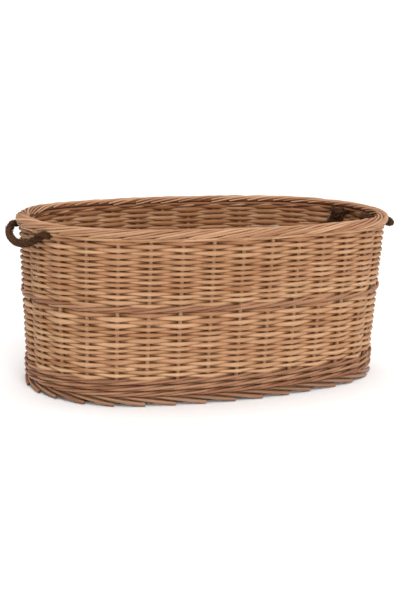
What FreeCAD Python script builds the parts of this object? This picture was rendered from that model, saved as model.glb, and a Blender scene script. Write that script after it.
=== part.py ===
"""Oval log basket of woven willow with two rope handles.

The plan is a four-centre oval: two end arcs and two side arcs that meet tangentially. Every ring of
the basket is a parallel curve of that oval, so all of them share the same four centres and differ
only in an offset. The wall leans outward by the same amount all round. X runs along the basket,
Y across it, Z up, and the origin is the middle of the standing face.
"""
import FreeCAD, Part
import math
import os
import Sketcher

# name, size in millimetres or plain number, what it is
SIZES = [
    ("half_length", 400.0, "middle to the outer face of the wall at the rim, along the basket"),
    ("half_width", 240.0, "middle to the outer face of the wall at the rim, across the basket"),
    ("end_radius", 216.0, "radius of the two end arcs at the rim"),
    ("basket_height", 345.0, "standing face to the top of the rim"),
    ("wall_flare", 19.0, "how far the wall leans out between the standing face and the rim"),
    ("stake_size", 8.0, "diameter of an upright stake"),
    ("weaver_size", 7.0, "thickness of a weaving rod on each side of a stake"),
    ("stake_clearance", 0.3, "gap between a stake and the rods woven round it"),
    ("stake_count", 33.0, "upright stakes, an odd number so that one rod alternates"),
    ("first_stake", 0.75, "left tip to the first front stake, in stake spacings"),
    ("foot_height", 24.0, "height of the foot border"),
    ("foot_ledge", 10.0, "how far the foot border reaches inward under the base"),
    ("upsett_height", 30.0, "height of the first waling above the foot"),
    ("lower_weave_height", 130.0, "height of the weave below the middle wale"),
    ("middle_wale_height", 14.0, "height of the middle wale"),
    ("top_wale_height", 12.0, "height of the waling under the rim border"),
    ("border_height", 16.0, "height of the rolled rim border"),
    ("border_stand", 3.0, "how far the rim border stands out past each face of the wall"),
    ("base_thickness", 18.0, "thickness of the woven base"),
    ("base_clearance", 0.4, "gap between the base and the wall round it"),
    ("edge_wale_width", 14.0, "width of the waling round the edge of the base"),
    ("slath_end_radius", 40.0, "end radius of the bound middle of the base"),
    ("slath_recess", 2.0, "how much thinner the bound middle is, on each face"),
    ("long_stick_size", 9.0, "diameter of a lengthwise base stick"),
    ("long_stick_pitch", 13.0, "spacing of the lengthwise base sticks"),
    ("cross_stick_size", 13.0, "diameter of a slit cross stick"),
    ("cross_stick_pitch", 90.0, "spacing of the cross sticks"),
    ("stick_clearance", 0.3, "gap between a base stick and what it passes through"),
    ("rope_size", 15.0, "diameter of the handle rope"),
    ("rope_clearance", 0.3, "gap between the rope and the wall that it passes through"),
    ("rope_below_rim", 0.5, "gap between the rope in the wall and the rim border above it"),
    ("hinge_stand", 10.0, "outer face of the wall to the line that a handle swings about"),
    ("hinge_gap", 0.4, "gap between a handle's end and the rope in the wall"),
    ("hinge_swell", 0.4, "how much a handle's rounded end is thicker than the rope, on the radius"),
    ("left_hole_step", 1.5, "left tip to each rope hole beside it, in stake spacings"),
    ("right_hole_step", 1.0, "right tip to each rope hole beside it, in stake spacings"),
    ("left_hang", 23.33, "how far the left loop hangs below its swing line"),
    ("right_hang", 14.02, "how far the right loop hangs below its swing line"),
    ("left_reach", 14.25, "outer face of the left tip to the middle of the left loop, level with the holes"),
    ("right_reach", 39.94, "outer face of the right tip to the middle of the right loop, level with the holes"),
    ("knot_radius", 15.0, "radius of the knot inside the wall"),
    ("knot_clearance", 0.5, "gap between a knot and the inside of the wall"),
    ("tail_length", 30.0, "length of the frayed rope end below a knot"),
    ("tail_radius", 10.0, "radius of the frayed rope end at its tip"),
]
# name, formula, what it is
WORKED_OUT = [
    ("end_centre", "=half_length - end_radius", "middle to the centre of an end arc"),
    ("side_radius", "=(end_centre^2 + half_width^2 - end_radius^2) / (2 * (half_width - end_radius))",
     "radius of the two side arcs at the rim"),
    ("side_centre", "=side_radius - half_width", "middle to the centre of a side arc"),
    ("wall_thickness", "=stake_size + 2 * weaver_size", "outer face to inner face of the wall"),
    ("upsett_top", "=foot_height + upsett_height", "top of the first waling"),
    ("lower_weave_top", "=upsett_top + lower_weave_height", "top of the lower weave"),
    ("middle_wale_top", "=lower_weave_top + middle_wale_height", "top of the middle wale"),
    ("border_base", "=basket_height - border_height", "underside of the rim border"),
    ("upper_weave_top", "=border_base - top_wale_height", "top of the upper weave"),
    ("base_top", "=foot_height + base_thickness", "top of the woven base"),
    ("rope_level", "=border_base - rope_below_rim - rope_size / 2", "height of the rope holes"),
]
CROSS_STICKS = 5
LONG_STICKS = 3
# turning points of a hanging loop: share of the hole's distance across, share of the way out and down
LOOP_ROUTE = [
    (-1.00, 0.00),
    (-0.92, 0.38),
    (-0.71, 0.71),
    (-0.38, 0.92),
    (0.00, 1.00),
    (0.38, 0.92),
    (0.71, 0.71),
    (0.92, 0.38),
    (1.00, 0.00),
]

doc = FreeCAD.newDocument("LogBasket")
sheet = doc.addObject("Spreadsheet::Sheet", "Sizes")
sub_parts = {}


def fill_sheet():
    row = 1
    for name, size, meaning in SIZES:
        sheet.set(f"A{row}", str(size))
        sheet.setAlias(f"A{row}", name)
        sheet.set(f"B{row}", meaning)
        row += 1
    for name, formula, meaning in WORKED_OUT:
        sheet.set(f"A{row}", formula)
        sheet.setAlias(f"A{row}", name)
        sheet.set(f"B{row}", meaning)
        row += 1
    doc.recompute()


def size(name):
    return float(getattr(sheet, name))


def keep(label, item):
    item.Label = label
    sub_parts[label] = item
    return item


# ---------------------------------------------------------------- the oval and its parallel curves

def offset_formula(level, shift):
    """Formula of a ring's offset from the rim oval, at a height and a distance from the outer face."""
    return f"(({shift}) - Sizes.wall_flare * (1 - ({level}) / Sizes.basket_height))"


def wall_offset(level, shift=0.0):
    return shift - size("wall_flare") * (1 - level / size("basket_height"))


def oval_sketch(body, name, level, offset):
    """A sketch of one parallel curve: level and offset are formulas on the sheet."""
    sketch = body.newObject("Sketcher::SketchObject", name)
    plane = [p for p in body.Origin.OriginFeatures if p.Role == "XY_Plane"][0]
    sketch.AttachmentSupport = [(plane, "")]
    sketch.MapMode = "FlatFace"
    sketch.setExpression("AttachmentOffset.Base.z", level)
    end_centre = size("end_centre")
    side_centre = size("side_centre")
    end_radius = size("end_radius")
    side_radius = size("side_radius")
    join = math.atan2(side_centre, end_centre)
    normal = FreeCAD.Vector(0, 0, 1)
    arcs = [
        (end_centre, 0, end_radius, -join, join),
        (0, -side_centre, side_radius, join, math.pi - join),
        (-end_centre, 0, end_radius, math.pi - join, math.pi + join),
        (0, side_centre, side_radius, math.pi + join, 2 * math.pi - join),
    ]
    for x, y, radius, start, end in arcs:
        circle = Part.Circle(FreeCAD.Vector(x, y, 0), normal, radius)
        sketch.addGeometry(Part.ArcOfCircle(circle, start, end), False)
    right, back, left, front = range(4)
    sketch.addConstraint(Sketcher.Constraint("PointOnObject", right, 3, -1))
    sketch.addConstraint(Sketcher.Constraint("Symmetric", right, 3, left, 3, -2))
    sketch.addConstraint(Sketcher.Constraint("PointOnObject", front, 3, -2))
    sketch.addConstraint(Sketcher.Constraint("Symmetric", front, 3, back, 3, -1))
    for one, other in ((right, back), (back, left), (left, front)):
        sketch.addConstraint(Sketcher.Constraint("Tangent", one, 2, other, 1))
    # the last joint is tangent already, so it only has to lie level with the one facing it
    sketch.addConstraint(Sketcher.Constraint("Horizontal", front, 1, front, 2))
    sketch.addConstraint(Sketcher.Constraint("Horizontal", left, 2, right, 1))
    radius_row = sketch.addConstraint(Sketcher.Constraint("Radius", right, end_radius))
    end_row = sketch.addConstraint(Sketcher.Constraint("DistanceX", -1, 1, right, 3, end_centre))
    side_row = sketch.addConstraint(Sketcher.Constraint("DistanceY", -1, 1, front, 3, side_centre))
    sketch.renameConstraint(radius_row, "end_radius")
    sketch.renameConstraint(end_row, "end_centre")
    sketch.renameConstraint(side_row, "side_centre")
    sketch.setExpression("Constraints.end_radius", f"Sizes.end_radius + {offset}")
    sketch.setExpression("Constraints.end_centre", "Sizes.end_centre")
    sketch.setExpression("Constraints.side_centre", "Sizes.side_centre")
    return sketch


def oval_ring(label, bottom, top, outer, inner, inner_top=None):
    """A leaning ring or, with no inner shift, a leaning slab. All sizes are formulas on the sheet."""
    body = doc.addObject("PartDesign::Body", "Body_" + label)
    low = oval_sketch(body, "OuterLow", bottom, offset_formula(bottom, outer))
    high = oval_sketch(body, "OuterHigh", top, offset_formula(top, outer))
    solid = body.newObject("PartDesign::AdditiveLoft", "Outer")
    solid.Profile = low
    solid.Sections = [high]
    solid.Ruled = True
    if inner is not None:
        low = oval_sketch(body, "InnerLow", bottom, offset_formula(bottom, inner))
        high = oval_sketch(body, "InnerHigh", top, offset_formula(top, inner))
        hollow = body.newObject("PartDesign::SubtractiveLoft", "Hollow")
        hollow.Profile = low
        hollow.Sections = [high]
        hollow.Ruled = True
    doc.recompute()
    return body


def cut(base, tool, name):
    item = doc.addObject("Part::Cut", name)
    item.Base = base
    item.Tool = tool
    doc.recompute()
    return item


# ---------------------------------------------------------------- stakes and their channels

def oval_point(way, offset):
    """Point on a parallel curve, by the way along the wall's outer face at half height.

    The way starts at the left tip and runs along the front."""
    ruler = wall_offset(size("basket_height") / 2)
    join = math.atan2(size("side_centre"), size("end_centre"))
    spread = math.pi / 2 - join
    end_centre = size("end_centre")
    side_centre = size("side_centre")
    end_radius = size("end_radius")
    side_radius = size("side_radius")
    stretches = [
        (join, -end_centre, 0.0, end_radius, math.pi),
        (2 * spread, 0.0, side_centre, side_radius, math.pi + join),
        (2 * join, end_centre, 0.0, end_radius, -join),
        (2 * spread, 0.0, -side_centre, side_radius, join),
        (join, -end_centre, 0.0, end_radius, math.pi - join),
    ]
    whole = sum(turn * (radius + ruler) for turn, _, _, radius, _ in stretches)
    left = way % whole
    for turn, x, y, radius, start in stretches:
        run = turn * (radius + ruler)
        if left <= run:
            angle = start + left / (radius + ruler)
            reach = radius + offset
            return FreeCAD.Vector(x + reach * math.cos(angle), y + reach * math.sin(angle), 0)
        left -= run
    return oval_point(0.0, offset)


def oval_length():
    ruler = wall_offset(size("basket_height") / 2)
    join = math.atan2(size("side_centre"), size("end_centre"))
    ends = 4 * join * (size("end_radius") + ruler)
    sides = 4 * (math.pi / 2 - join) * (size("side_radius") + ruler)
    return ends + sides


def stake_pitch():
    return oval_length() / int(size("stake_count"))


def leaning_rods(radius, bottom, top):
    """One rod per stake, round in every level section, leaning with the wall."""
    middle = -size("wall_thickness") / 2
    rods = []
    for index in range(int(size("stake_count"))):
        way = (size("first_stake") + index) * stake_pitch()
        low = oval_point(way, wall_offset(bottom, middle))
        high = oval_point(way, wall_offset(top, middle))
        low.z = bottom
        high.z = top
        circle = Part.Edge(Part.Circle(low, FreeCAD.Vector(0, 0, 1), radius))
        rods.append(Part.Face(Part.Wire(circle)).extrude(high - low))
    return Part.makeCompound(rods)


def shape_item(name, shape):
    item = doc.addObject("Part::Feature", name)
    item.Shape = shape
    item.Placement = FreeCAD.Placement()
    return item


# ---------------------------------------------------------------- base

def rod(name, radius, length, along, x="0", y="0"):
    """A level round rod, centred on the base's middle plane, with sizes as formulas."""
    item = doc.addObject("Part::Cylinder", name)
    item.setExpression("Radius", radius)
    item.setExpression("Height", length)
    turn_axis = FreeCAD.Vector(0, 1, 0) if along == "X" else FreeCAD.Vector(-1, 0, 0)
    item.Placement = FreeCAD.Placement(FreeCAD.Vector(), FreeCAD.Rotation(turn_axis, 90))
    shift_x = f"{x} - ({length}) / 2" if along == "X" else x
    shift_y = f"{y} - ({length}) / 2" if along == "Y" else y
    item.setExpression("Placement.Base.x", shift_x)
    item.setExpression("Placement.Base.y", shift_y)
    item.setExpression("Placement.Base.z", "Sizes.foot_height + Sizes.base_thickness / 2")
    return item


def compound(name, items):
    item = doc.addObject("Part::Compound", name)
    item.Links = items
    doc.recompute()
    return item


def long_sticks(name, extra):
    """The lengthwise sticks, thicker by a clearance where they are used to cut a passage."""
    reach = "(Sizes.half_length - Sizes.wall_flare - Sizes.wall_thickness - Sizes.edge_wale_width)"
    length = f"2 * {reach} - 4 + 4 * ({extra})"
    rods = []
    for index in range(LONG_STICKS):
        place = f"{index - (LONG_STICKS - 1) / 2} * Sizes.long_stick_pitch"
        radius = f"Sizes.long_stick_size / 2 + {extra}"
        rods.append(rod(f"{name}{index}", radius, length, "X", y=place))
    return compound(name, rods)


def cross_sticks(name, extra):
    """The cross sticks reach the waling at the edge of the base, so the outer ones are shorter."""
    side = "(Sizes.side_radius - Sizes.wall_flare - Sizes.wall_thickness - Sizes.edge_wale_width)"
    rods = []
    for index in range(CROSS_STICKS):
        place = f"{index - (CROSS_STICKS - 1) / 2} * Sizes.cross_stick_pitch"
        half = f"(sqrt({side}^2 - ({place})^2) - Sizes.side_centre)"
        length = f"2 * {half} - 4 + 4 * ({extra})"
        radius = f"Sizes.cross_stick_size / 2 + {extra}"
        rods.append(rod(f"{name}{index}", radius, length, "Y", x=place))
    return compound(name, rods)


def build_base():
    clearance = "Sizes.stick_clearance"
    long_ones = long_sticks("LongStick", "0")
    long_passages = long_sticks("LongPassage", clearance)
    cross_ones = cross_sticks("CrossStick", "0")
    cross_passages = cross_sticks("CrossPassage", clearance)
    keep("base_long_sticks", long_ones)
    keep("base_cross_sticks", cut(cross_ones, long_passages, "SlitCrossSticks"))
    wall_inside = "(-Sizes.wall_thickness - Sizes.base_clearance)"
    wale_inside = f"({wall_inside} - Sizes.edge_wale_width)"
    low = "Sizes.foot_height"
    high = "Sizes.base_top"
    keep("base_edge_wale", oval_ring("base_edge_wale", low, high, wall_inside, wale_inside))
    flare_back = f"Sizes.wall_flare * (1 - ({low}) / Sizes.basket_height)"
    slath = f"(Sizes.slath_end_radius - Sizes.end_radius + {flare_back})"
    weave = oval_ring("base_weave", low, high, wale_inside, slath)
    weave = cut(weave, long_passages, "WeaveAlong")
    keep("base_weave", cut(weave, cross_passages, "WeaveAcross"))
    low = "Sizes.foot_height + Sizes.slath_recess"
    high = "Sizes.base_top - Sizes.slath_recess"
    binding = oval_ring("base_binding", low, high, slath, None)
    binding = cut(binding, long_passages, "BindingAlong")
    keep("base_binding", cut(binding, cross_passages, "BindingAcross"))


# ---------------------------------------------------------------- rope handles

def hole_place(steps):
    """Middle of the basket to a rope hole, across: the hole keeps its place between two stakes."""
    middle = wall_offset(size("rope_level"), -size("wall_thickness") / 2)
    return abs(oval_point(steps * stake_pitch(), middle).y)


def hole_reach(hole, shift=0.0):
    """Middle of the basket to a face of the wall, level with the rope and in line with its hole."""
    radius = size("end_radius") + wall_offset(size("rope_level"), shift)
    return size("end_centre") + math.sqrt(radius ** 2 - hole ** 2)


def rope_line(side, hole, reach, hang):
    """The turning points of a hanging loop, from the front end of its swing line to the back end.

    The wall bulges between the two holes, so the loop's reach is counted from the tip of the wall."""
    swing = hole_reach(hole) + size("hinge_stand")
    tip = hole_reach(0.0)
    points = []
    for across, down in LOOP_ROUTE:
        out = swing + down * (tip + reach - swing)
        level = size("rope_level") - down * hang
        points.append(FreeCAD.Vector(side * out, across * hole, level))
    return points


def rounded_path(points):
    """Straight runs joined by tangent arcs: each arc takes 0.45 of the shorter run beside it."""
    edges = []
    radii = []
    start = points[0]
    for before, corner, after in zip(points, points[1:], points[2:]):
        back = before - corner
        ahead = after - corner
        turn = math.pi - back.getAngle(ahead)
        trim = 0.45 * min(back.Length, ahead.Length)
        radius = trim / math.tan(turn / 2)
        back.normalize()
        ahead.normalize()
        enter = corner + back * trim
        leave = corner + ahead * trim
        inward = back + ahead
        inward.normalize()
        middle = corner + inward * (radius / math.cos(turn / 2) - radius)
        edges.append(Part.LineSegment(start, enter).toShape())
        edges.append(Part.Arc(enter, middle, leave).toShape())
        radii.append(round(radius, 1))
        start = leave
    edges.append(Part.LineSegment(start, points[-1]).toShape())
    return Part.Wire(edges), radii


def build_loop(label, side, hole, reach, hang):
    points = rope_line(side, hole, reach, hang)
    path, radii = rounded_path(points)
    radius = size("rope_size") / 2
    ring = Part.Wire(Part.Edge(Part.Circle(points[0], points[1] - points[0], radius)))
    tube = path.makePipeShell([ring], True, True)
    section = math.pi * radius ** 2 * path.Length
    print(f"{label}: length {path.Length:.1f}, radii {radii}, volume / section {tube.Volume / section:.4f}")
    print(f"{label}: swing line at x = {points[0].x:.3f}, holes at y = {hole:.3f}")
    ends = [Part.makeSphere(radius + size("hinge_swell"), end) for end in (points[0], points[-1])]
    keep(label, shape_item("Shape_" + label, tube.fuse(ends).removeSplitter()))


def build_knot(label, side, place):
    """The rope inside the wall: from the knot out to just short of the handle's rounded end."""
    hole = abs(place)
    radius = size("rope_size") / 2
    level = size("rope_level")
    shift = -size("wall_thickness") - size("knot_radius") - size("knot_clearance")
    inside = hole_reach(hole, shift)
    swell = radius + size("hinge_swell") + size("hinge_gap")
    outside = hole_reach(hole) + size("hinge_stand") - swell
    centre = FreeCAD.Vector(side * inside, place, level)
    stub = Part.makeCylinder(radius, outside - inside, centre, FreeCAD.Vector(side, 0, 0))
    knot = Part.makeSphere(size("knot_radius"), centre)
    neck = FreeCAD.Vector(centre.x, place, level - size("knot_radius") / 2)
    down = FreeCAD.Vector(0, 0, -1)
    length = size("tail_length") + size("knot_radius") / 2
    tail = Part.makeCone(radius * 0.8, size("tail_radius"), length, neck, down)
    keep(label, shape_item("Shape_" + label, stub.fuse([knot, tail]).removeSplitter()))


def rope_passages():
    """The four holes that the weavers leave for the rope."""
    radius = size("rope_size") / 2 + size("rope_clearance")
    rods = []
    for side, steps in ((-1, size("left_hole_step")), (1, size("right_hole_step"))):
        hole = hole_place(steps)
        start = hole_reach(hole, -3 * size("wall_thickness"))
        length = hole_reach(hole, size("wall_thickness")) - start
        for place in (-hole, hole):
            foot = FreeCAD.Vector(side * start, place, size("rope_level"))
            rods.append(Part.makeCylinder(radius, length, foot, FreeCAD.Vector(side, 0, 0)))
    return shape_item("RopePassages", Part.makeCompound(rods))


def build_handles():
    for name, side in (("left", -1), ("right", 1)):
        hole = hole_place(size(name + "_hole_step"))
        build_loop(name + "_rope_loop", side, hole, size(name + "_reach"), size(name + "_hang"))
        build_knot(name + "_front_rope_knot", side, -hole)
        build_knot(name + "_back_rope_knot", side, hole)


# ---------------------------------------------------------------- wall

def build_wall():
    foot = "Sizes.foot_height"
    border = "Sizes.border_base"
    inside = "-Sizes.wall_thickness"
    keep("foot_border", oval_ring("foot_border", "0", foot, "0", f"{inside} - Sizes.foot_ledge"))
    bore = size("stake_size") / 2 + size("stake_clearance")
    low = size("foot_height")
    high = size("border_base")
    channels = shape_item("StakeChannels", leaning_rods(bore, low, high))
    passages = rope_passages()
    bands = [
        ("upsett_wale", foot, "Sizes.upsett_top", False),
        ("lower_side_weave", "Sizes.upsett_top", "Sizes.lower_weave_top", False),
        ("middle_wale", "Sizes.lower_weave_top", "Sizes.middle_wale_top", False),
        ("upper_side_weave", "Sizes.middle_wale_top", "Sizes.upper_weave_top", True),
        ("top_wale", "Sizes.upper_weave_top", border, True),
    ]
    for label, bottom, top, has_rope in bands:
        band = cut(oval_ring(label, bottom, top, "0", inside), channels, "Channelled_" + label)
        if has_rope:
            band = cut(band, passages, "Passed_" + label)
        keep(label, band)
    stakes = leaning_rods(size("stake_size") / 2, low, high)
    keep("side_stakes", shape_item("Stakes", stakes))
    stand = "Sizes.border_stand"
    keep("rim_border", oval_ring("rim_border", border, "Sizes.basket_height", stand, f"{inside} - {stand}"))


def check_and_write():
    doc.recompute()
    for item in doc.Objects:
        if "Invalid" in item.State or "Error" in item.State:
            raise RuntimeError(f"{item.Name} ({item.Label}) is {item.State}")
    os.makedirs("parts", exist_ok=True)
    for label, item in sub_parts.items():
        shape = item.Shape
        if shape.isNull() or not shape.isValid():
            raise RuntimeError(f"{label} has no valid shape")
        print(f"{label}: {len(shape.Solids)} solids, {shape.Volume / 1000:.1f} cm3")
    for label, item in sub_parts.items():
        item.Shape.exportStep(f"parts/{label}.step")


fill_sheet()
build_base()
build_wall()
build_handles()
check_and_write()
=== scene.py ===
# %% [markdown]
# # An oval willow log basket with two rope handles
# The basket is made as a basket maker makes it: a stick base, upright stakes, long rods woven in and
# out of them, firm bands of waling, a foot and a rolled rim. Every rod you see is its own tapered
# tube of mesh. The plain solids of the measured model give the places, and the rods replace them.

# %% Load the measured model
import math
import bpy
import numpy as np
from mathutils import Matrix, Vector


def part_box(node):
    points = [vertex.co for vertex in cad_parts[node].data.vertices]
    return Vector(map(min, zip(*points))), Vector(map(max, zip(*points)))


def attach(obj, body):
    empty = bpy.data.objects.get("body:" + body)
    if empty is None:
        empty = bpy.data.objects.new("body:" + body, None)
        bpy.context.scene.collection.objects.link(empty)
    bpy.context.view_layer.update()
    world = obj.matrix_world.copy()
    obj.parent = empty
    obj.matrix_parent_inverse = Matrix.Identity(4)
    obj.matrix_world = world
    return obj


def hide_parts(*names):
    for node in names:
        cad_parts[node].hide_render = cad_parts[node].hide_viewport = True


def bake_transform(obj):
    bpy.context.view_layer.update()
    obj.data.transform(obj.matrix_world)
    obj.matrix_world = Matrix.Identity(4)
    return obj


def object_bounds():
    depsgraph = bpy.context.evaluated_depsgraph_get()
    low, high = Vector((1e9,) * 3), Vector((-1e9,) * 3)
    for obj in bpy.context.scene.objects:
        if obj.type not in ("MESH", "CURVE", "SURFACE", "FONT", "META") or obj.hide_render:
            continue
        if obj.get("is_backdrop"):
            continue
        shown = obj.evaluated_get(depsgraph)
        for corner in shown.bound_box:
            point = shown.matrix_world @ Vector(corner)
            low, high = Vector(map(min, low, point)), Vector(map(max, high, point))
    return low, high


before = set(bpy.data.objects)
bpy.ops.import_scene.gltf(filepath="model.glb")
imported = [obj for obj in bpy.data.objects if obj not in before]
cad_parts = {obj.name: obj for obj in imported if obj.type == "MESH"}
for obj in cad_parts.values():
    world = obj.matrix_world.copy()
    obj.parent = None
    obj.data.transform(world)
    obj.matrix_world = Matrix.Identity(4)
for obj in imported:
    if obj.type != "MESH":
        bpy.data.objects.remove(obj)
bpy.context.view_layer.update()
bpy.ops.object.select_all(action="DESELECT")

# %% [markdown]
# ## The camera
# The basket is seen from its left front and a little above. A lens of about 77 mm, well back from the
# basket, keeps the far end nearly as large as the near one. The camera's turn is given as three
# angles, from which its right, up and backward directions follow.

# %% Place the camera
CAMERA_PLACE = Vector((-1.1583, -2.3587, 0.7125))
YAW, PITCH, ROLL = 0.4532, -0.2091, 0.0316
SENSOR = 36
# the focal length and the frame's height, both in the same unit
FOCAL, FRAME_TALL = 1279.45, 601
LENS = FOCAL * SENSOR / FRAME_TALL
forward = Vector((math.sin(YAW) * math.cos(PITCH), math.cos(YAW) * math.cos(PITCH), math.sin(PITCH)))
level_right = Vector((math.cos(YAW), -math.sin(YAW), 0))
level_up = level_right.cross(forward)
right = math.cos(ROLL) * level_right + math.sin(ROLL) * level_up
up = -math.sin(ROLL) * level_right + math.cos(ROLL) * level_up
camera_data = bpy.data.cameras.new("camera")
camera_data.sensor_width = SENSOR
camera_data.sensor_fit = "AUTO"
camera_data.lens = LENS
camera = bpy.data.objects.new("camera", camera_data)
bpy.context.scene.collection.objects.link(camera)
turned = Matrix((right, up, -forward)).transposed().to_4x4()
camera.matrix_world = Matrix.Translation(CAMERA_PLACE) @ turned
bpy.context.scene.camera = camera
print("lens in mm:", round(camera_data.lens, 2))

# %% [markdown]
# ## The wall as a ruler
# A basket maker measures round the wall in stake spacings. The plan is an oval of four arcs, and each
# ring of the wall is a parallel curve of it, so one helper can give any point: how far round it is,
# how far in from the outer face, and how high. The sizes of the rim come from the measured model, and
# the wall's lean, its thickness and the ends' radius are written here because a box can't tell them.

# %% Sizes read from the model
rim_low, rim_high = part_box("rim_border")
HEIGHT = rim_high.z
RIM_STAND = 0.003
HALF_LENGTH = rim_high.x - RIM_STAND
HALF_WIDTH = rim_high.y - RIM_STAND
FLARE = 0.019
END_RADIUS = 0.216
WALL = 0.022
WALL_MIDDLE = WALL / 2
STAKES = 33
FIRST_STAKE = 0.75
END_CENTRE = HALF_LENGTH - END_RADIUS
SIDE_RADIUS = (END_CENTRE ** 2 + HALF_WIDTH ** 2 - END_RADIUS ** 2) / (2 * (HALF_WIDTH - END_RADIUS))
SIDE_CENTRE = SIDE_RADIUS - HALF_WIDTH
JOIN = math.atan2(SIDE_CENTRE, END_CENTRE)
SPREAD = math.pi / 2 - JOIN
RULER = -FLARE / 2
STRETCHES = [
    (JOIN, -END_CENTRE, 0.0, END_RADIUS, math.pi),
    (2 * SPREAD, 0.0, SIDE_CENTRE, SIDE_RADIUS, math.pi + JOIN),
    (2 * JOIN, END_CENTRE, 0.0, END_RADIUS, -JOIN),
    (2 * SPREAD, 0.0, -SIDE_CENTRE, SIDE_RADIUS, JOIN),
    (JOIN, -END_CENTRE, 0.0, END_RADIUS, math.pi - JOIN),
]
ROUND = sum(turn * (radius + RULER) for turn, _, _, radius, _ in STRETCHES)
SPACING = ROUND / STAKES
print(f"rim {2 * HALF_LENGTH:.3f} by {2 * HALF_WIDTH:.3f} m")
print(f"{STAKES} stakes, one every {SPACING * 1000:.1f} mm")


# %% Find points on the wall
def wall_points(way, inset, height):
    """Points of the wall. way is in stake spacings from the left tip along the front."""
    given = (np.asarray(value, float) for value in (way, inset, height))
    way, inset, height = np.broadcast_arrays(*given)
    reach = -inset - FLARE * (1 - height / HEIGHT)
    left = (way % STAKES) * SPACING
    points = np.zeros((*way.shape, 3))
    start = 0.0
    for turn, x, y, radius, first in STRETCHES:
        run = turn * (radius + RULER)
        here = (left >= start - 1e-9) & (left <= start + run + 1e-9)
        angle = first + (left - start) / (radius + RULER)
        points[..., 0] = np.where(here, x + (radius + reach) * np.cos(angle), points[..., 0])
        points[..., 1] = np.where(here, y + (radius + reach) * np.sin(angle), points[..., 1])
        start += run
    points[..., 2] = height
    return points


print("left tip of the rim:", wall_points(0.0, 0.0, HEIGHT).round(4).tolist())

# %% [markdown]
# ## A willow rod
# A peeled rod is a long, slightly flattened, tapering tube. A bevelled curve could give it too, but
# there are hundreds of rods here and each changes its section along the way. Sweeping an eight-sided
# section along a line of points gives that with few faces. Each rod also carries what its finish
# needs: a shade of its own, how red it is, a grain coordinate that runs along it, and a mark on its
# cut ends.

# %% Sweep one rod
AROUND = 8
END_SWELL = 0.80
END_PUSH = 0.0006
GRAIN_RADIUS = 0.0035
GRAIN_SPAN = 40


def new_bundle():
    return {"points": [], "faces": [], "grain": [], "shade": [], "red": [], "cut": [], "count": 0}


def distances(line):
    """How far along the line each of its points is."""
    return np.concatenate(([0], np.cumsum(np.linalg.norm(np.diff(line, axis=0), axis=1))))


def add_rod(bundle, line, half_height, half_depth, dice, shade=None, sides=AROUND):
    """Adds one closed rod that follows line. Its section may change along the way."""
    line = np.asarray(line, float)
    count = len(line)
    half_height = np.broadcast_to(half_height, count)
    half_depth = np.broadcast_to(half_depth, count)
    ahead = np.gradient(line, axis=0)
    ahead /= np.linalg.norm(ahead, axis=1)[:, None]
    upward = np.array([0.0, 0.0, 1.0]) - ahead[:, 2:3] * ahead
    flat = np.linalg.norm(upward, axis=1) < 0.2
    upward[flat] = np.array([1.0, 0.0, 0.0]) - ahead[flat, 0:1] * ahead[flat]
    upward /= np.linalg.norm(upward, axis=1)[:, None]
    sideways = np.cross(ahead, upward)
    angle = np.arange(sides) * 2 * math.pi / sides
    # two extra rings, a little beyond each end and narrower, round off the cut
    at = np.concatenate(([0], np.arange(count), [count - 1]))
    swell = np.concatenate(([END_SWELL], np.ones(count), [END_SWELL]))
    push = np.zeros(count + 2)
    push[0], push[-1] = -END_PUSH, END_PUSH
    centre = line[at] + ahead[at] * push[:, None]
    tall = half_height[at] * swell
    deep = half_depth[at] * swell
    rings = (
        centre[:, None, :]
        + (sideways[at] * deep[:, None])[:, None, :] * np.sin(angle)[None, :, None]
        + (upward[at] * tall[:, None])[:, None, :] * np.cos(angle)[None, :, None]
    )
    rings_count = count + 2
    points = np.concatenate((rings.reshape(-1, 3), centre[:1], centre[-1:]))
    ring = np.arange(rings_count - 1)[:, None] * sides
    here = np.arange(sides)[None, :]
    after = (here + 1) % sides
    corners = (ring + here, ring + sides + here, ring + sides + after, ring + after)
    quads = np.stack(corners, axis=-1)
    first, last = rings_count * sides, rings_count * sides + 1
    low = np.stack((np.full(sides, first), here[0], after[0]), axis=-1)
    high = (rings_count - 1) * sides
    top = np.stack((np.full(sides, last), high + after[0], high + here[0]), axis=-1)
    base = bundle["count"]
    bundle["faces"].extend((quads.reshape(-1, 4) + base).tolist())
    bundle["faces"].extend((low + base).tolist())
    bundle["faces"].extend((top + base).tolist())
    along = distances(line)[at] + dice.uniform(0, GRAIN_SPAN)
    grain = np.zeros((rings_count, sides, 3))
    grain[..., 0] = along[:, None]
    grain[..., 1] = GRAIN_RADIUS * np.cos(angle)[None, :]
    grain[..., 2] = GRAIN_RADIUS * np.sin(angle)[None, :]
    ends = np.array([[along[0], 0, 0], [along[-1], 0, 0]])
    bundle["grain"].append(np.concatenate((grain.reshape(-1, 3), ends)))
    bundle["points"].append(points)
    shade = dice.uniform(0, 1) if shade is None else shade
    red = dice.uniform(0, 1)
    shade = np.broadcast_to(shade, count)
    shade = np.concatenate((np.repeat(shade[at], sides), shade[:1], shade[-1:]))
    bundle["shade"].append(shade)
    bundle["red"].append(np.full(len(points), red))
    cut = np.zeros(len(points))
    cut[:sides] = 1
    cut[high:] = 1
    bundle["cut"].append(cut)
    bundle["count"] += len(points)


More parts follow.
